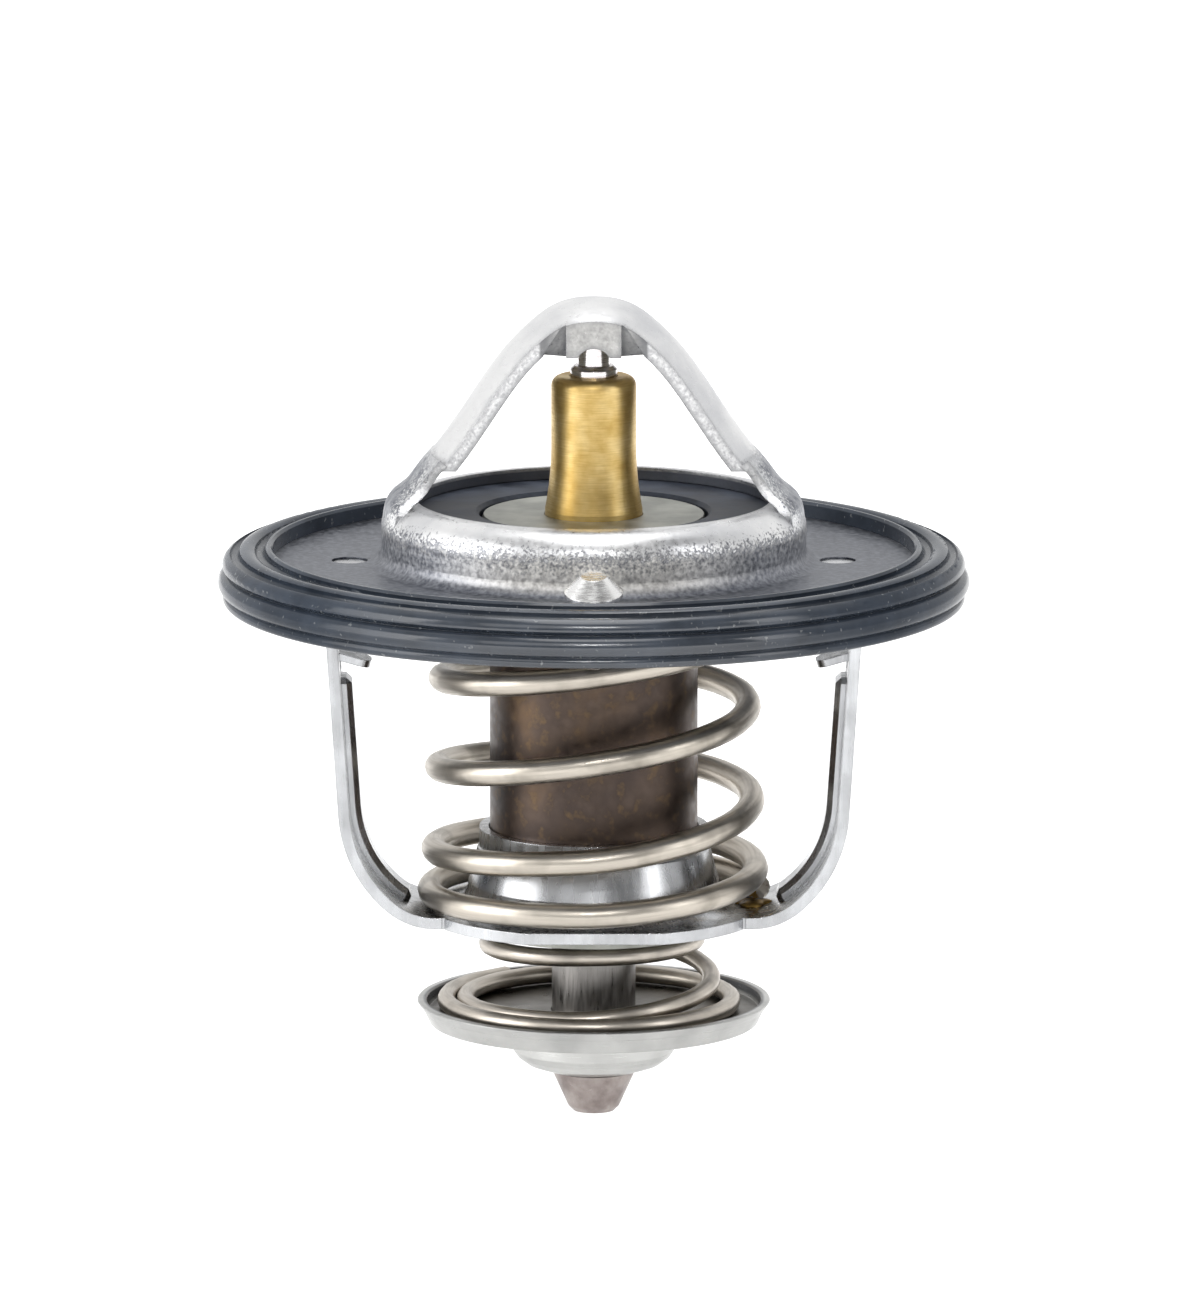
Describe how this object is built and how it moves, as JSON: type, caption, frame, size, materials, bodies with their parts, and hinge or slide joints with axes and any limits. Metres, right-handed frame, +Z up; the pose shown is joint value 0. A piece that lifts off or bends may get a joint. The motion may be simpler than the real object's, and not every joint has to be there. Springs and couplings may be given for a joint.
{
  "type": "engine thermostat",
  "caption": "Wax element engine thermostat with a flanged and bridged frame, edge gasket, sprung main valve, stirrup, jiggle pin and a bypass valve below.",
  "frame": {"origin": "on the thermostat's axis, in the plane of the gasket's lower face, which seats in the housing", "axes": "+Z up along the axis, towards the bridge; the bridge and the stirrup's legs stand in the XZ plane; the jiggle pin is at -Y"},
  "size_m": [0.0601, 0.06, 0.0661],
  "materials": {
    "bright_steel": "bright zinc plate, slightly dull",
    "black_rubber": "matt",
    "spring_steel": "drawn wire",
    "ground_steel": "ground",
    "seal_plastic": "matt",
    "soft_fill": "matt",
    "copper_wax": "matt",
    "guide_brass": "turned",
    "case_brass": "drawn and tarnished",
    "valve_steel": "pressed",
    "stem_steel": "turned",
    "turned_light_metal": "turned",
    "pin_metal": "turned"
  },
  "bodies": {
    "frame": {"upper_frame": "bright_steel", "gasket": "black_rubber", "lower_frame": "bright_steel", "main_spring": "spring_steel", "piston": "ground_steel", "backup_washer": "seal_plastic", "rubber_plug": "black_rubber"},
    "element": {"guide": "guide_brass", "wax_case": "case_brass", "rubber_boot": "black_rubber", "semi_fluid": "soft_fill", "wax_charge": "copper_wax", "valve_disc": "valve_steel", "valve_face": "black_rubber", "spring_seat": "valve_steel", "bypass_stem": "stem_steel", "bypass_seat": "valve_steel", "bypass_spring": "spring_steel", "retaining_clip": "spring_steel"},
    "bypass": {"bypass_valve": "turned_light_metal"},
    "jiggle": {"jiggle_pin": "pin_metal", "jiggle_weight": "pin_metal"}
  },
  "joints": [
    {"name": "element_slide", "type": "slide", "parent": "frame", "child": "element", "axis": [0, 0, -1], "range_m": [0, 0.008], "stiffness_N_per_m": 6000, "springref_m": -0.01, "deforming": ["main_spring"]},
    {"name": "bypass_slide", "type": "slide", "parent": "element", "child": "bypass", "axis": [0, 0, 1], "range_m": [0, 0.004], "stiffness_N_per_m": 1500, "springref_m": -0.004, "deforming": ["bypass_spring"]},
    {"name": "jiggle_lift", "type": "slide", "parent": "frame", "child": "jiggle", "axis": [0, 0, 1], "range_m": [0, 0.001]}
  ]
}
